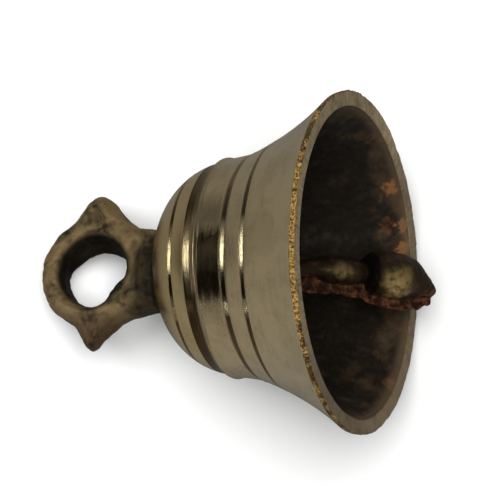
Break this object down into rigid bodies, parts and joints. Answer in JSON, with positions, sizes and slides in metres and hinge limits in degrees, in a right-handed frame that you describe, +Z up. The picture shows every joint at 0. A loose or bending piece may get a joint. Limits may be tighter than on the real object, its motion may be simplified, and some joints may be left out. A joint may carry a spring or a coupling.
{
  "type": "sanctus bell",
  "caption": "Small cast brass altar bell with a hanging loop cast for its crown, lying on its side, with a free-swinging clapper inside.",
  "frame": {"origin": "middle of the object's outline seen from above, on the level surface that it lies on", "axes": "+Z up, +X from the hanging loop to the mouth, +Y level, across the loop's two wings; the bell's axis lies in the X-Z plane"},
  "size_m": [0.0686, 0.06, 0.055],
  "materials": {
    "turned_brass": "turned and polished, thin dull film, fine turning lines",
    "dark_cast_bronze": "as cast, dark brown, worn lighter on the high places",
    "dull_brass": "dull, tarnished",
    "iron_wire": "dark iron wire",
    "rough_cast_brass": "rough as cast, reddish tarnish"
  },
  "bodies": {
    "bell": {"bell_body": "turned_brass", "crown_loop": "dark_cast_bronze", "crown_washer": "dull_brass", "crown_nut": "dull_brass"},
    "hanger": {"clapper_hanger": "iron_wire"},
    "clapper": {"clapper": "rough_cast_brass"}
  },
  "joints": [
    {"name": "hanger_swivel", "type": "hinge", "parent": "bell", "child": "hanger", "pos_m": [0.00215, 0, 0.01977], "axis": [-0.8994, 0, -0.4372], "continuous": true},
    {"name": "clapper_swing", "type": "hinge", "parent": "hanger", "child": "clapper", "pos_m": [0.00215, 0, 0.01977], "axis": [0, -1, 0], "range_deg": [0, 98.18]}
  ]
}
